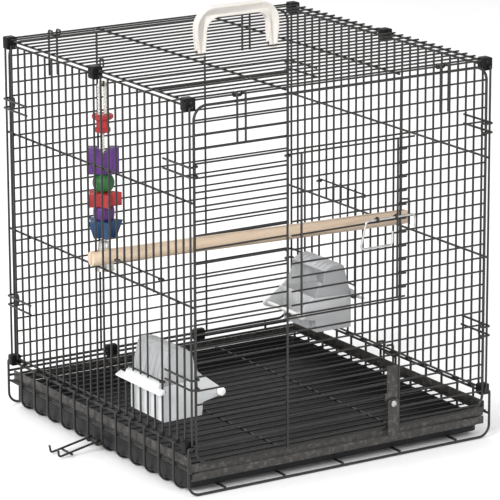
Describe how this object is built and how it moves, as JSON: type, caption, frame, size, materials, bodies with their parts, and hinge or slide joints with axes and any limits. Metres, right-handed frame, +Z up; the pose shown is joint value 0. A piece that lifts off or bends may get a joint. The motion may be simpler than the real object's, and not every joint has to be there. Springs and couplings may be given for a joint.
{
  "type": "bird travel carrier",
  "caption": "Square wire bird travel carrier: latched front door, sliding feeder gates with hooded cups, perch, hanging toy, slide-out tray, clasps and a carrying handle",
  "frame": {"origin": "middle of the base on the surface it stands on", "axes": "+X to the cage's right seen from the front, +Y to its back, +Z up; the front door faces -Y"},
  "size_m": [0.4793, 0.4401, 0.5065],
  "materials": {
    "wire_dark": "dark hammered powder coat, semi-gloss",
    "sheet_dark": "dark hammered powder coat on sheet",
    "zinc_wire": "bright zinc plate",
    "tray_plastic": "moulded, fine grain",
    "ivory_plastic": "moulded ivory, satin gloss",
    "clip_black": "moulded black, satin",
    "perch_wood": "plain turned hardwood",
    "cup_plastic": "milky moulded plastic, slightly see-through",
    "hood_clear": "clear greyish moulded plastic",
    "white_plastic": "moulded white",
    "toy_cord_white": "braided white cord",
    "toy_red": "stained red wood",
    "toy_purple": "stained purple wood",
    "toy_green": "stained green wood",
    "toy_blue": "stained blue wood",
    "bell_metal": "polished nickel"
  },
  "bodies": {
    "cage": {"base_floor_wires": "wire_dark", "base_left_side": "wire_dark", "base_right_side": "wire_dark", "base_back_rails": "wire_dark", "floor_grille_wires": "wire_dark", "front_panel": "wire_dark", "back_panel": "wire_dark", "roof_panel": "wire_dark", "left_panel": "wire_dark", "right_panel": "wire_dark", "lock_screw": "zinc_wire", "lock_bracket": "sheet_dark", "floor_grille_rim": "sheet_dark", "perch": "perch_wood", "left_cup_bowl": "cup_plastic", "left_cup_hood": "hood_clear", "left_cup_perch": "white_plastic", "top_clip_left_front": "clip_black", "top_clip_left_middle": "clip_black", "top_clip_left_back": "clip_black", "base_clip_left_front": "clip_black", "base_clip_left_back": "clip_black", "back_clip_left": "clip_black", "right_cup_bowl": "cup_plastic", "right_cup_hood": "hood_clear", "right_cup_perch": "white_plastic", "top_clip_right_front": "clip_black", "top_clip_right_middle": "clip_black", "top_clip_right_back": "clip_black", "base_clip_right_front": "clip_black", "base_clip_right_back": "clip_black", "back_clip_right": "clip_black"},
    "front_door": {"front_door": "wire_dark"},
    "door_latch": {"door_latch": "zinc_wire"},
    "tray": {"tray_pan": "tray_plastic", "tray_front_rail": "sheet_dark"},
    "lock_button": {"lock_button": "sheet_dark"},
    "left_gate": {"left_gate": "wire_dark"},
    "right_gate": {"right_gate": "wire_dark"},
    "left_clasp": {"left_clasp": "wire_dark"},
    "right_clasp": {"right_clasp": "wire_dark"},
    "handle": {"handle": "ivory_plastic"},
    "toy": {"toy_hook": "wire_dark", "toy_loop": "toy_cord_white", "toy_cord": "toy_cord_white", "toy_spool": "toy_red", "toy_block": "toy_purple", "toy_bead": "toy_green", "toy_star": "toy_red", "toy_barrel": "toy_purple", "toy_wings": "toy_blue", "toy_bell": "bell_metal", "toy_clapper": "bell_metal"}
  },
  "joints": [
    {"name": "door_hinge", "type": "hinge", "parent": "cage", "child": "front_door", "pos_m": [-0.0767, -0.2129, 0.286], "axis": [0, 0, -1], "range_deg": [0, 110]},
    {"name": "door_latch_slide", "type": "slide", "parent": "front_door", "child": "door_latch", "axis": [-1, 0, 0], "range_m": [0, 0.02]},
    {"name": "tray_slide", "type": "slide", "parent": "cage", "child": "tray", "axis": [0, -1, 0], "range_m": [0, 0.38]},
    {"name": "lock_button_turn", "type": "hinge", "parent": "cage", "child": "lock_button", "pos_m": [0.0675, -0.2152, 0.0657], "axis": [0, -1, 0], "range_deg": [-100, 100]},
    {"name": "left_gate_slide", "type": "slide", "parent": "cage", "child": "left_gate", "axis": [0, 0, 1], "range_m": [0, 0.08]},
    {"name": "right_gate_slide", "type": "slide", "parent": "cage", "child": "right_gate", "axis": [0, 0, 1], "range_m": [0, 0.08]},
    {"name": "left_clasp_hinge", "type": "hinge", "parent": "cage", "child": "left_clasp", "pos_m": [-0.20994, 0, 0.01123], "axis": [0, 1, 0], "range_deg": [0, 101]},
    {"name": "right_clasp_hinge", "type": "hinge", "parent": "cage", "child": "right_clasp", "pos_m": [0.20994, 0, 0.01123], "axis": [0, 1, 0], "range_deg": [0, 101]},
    {"name": "handle_lean", "type": "hinge", "parent": "cage", "child": "handle", "pos_m": [0, 0.01635, 0.455], "axis": [1, 0, 0], "range_deg": [-60, 60]},
    {"name": "toy_swing", "type": "hinge", "parent": "cage", "child": "toy", "pos_m": [-0.173, 0.0327, 0.455], "axis": [1, 0, 0], "range_deg": [-4, 25]}
  ]
}
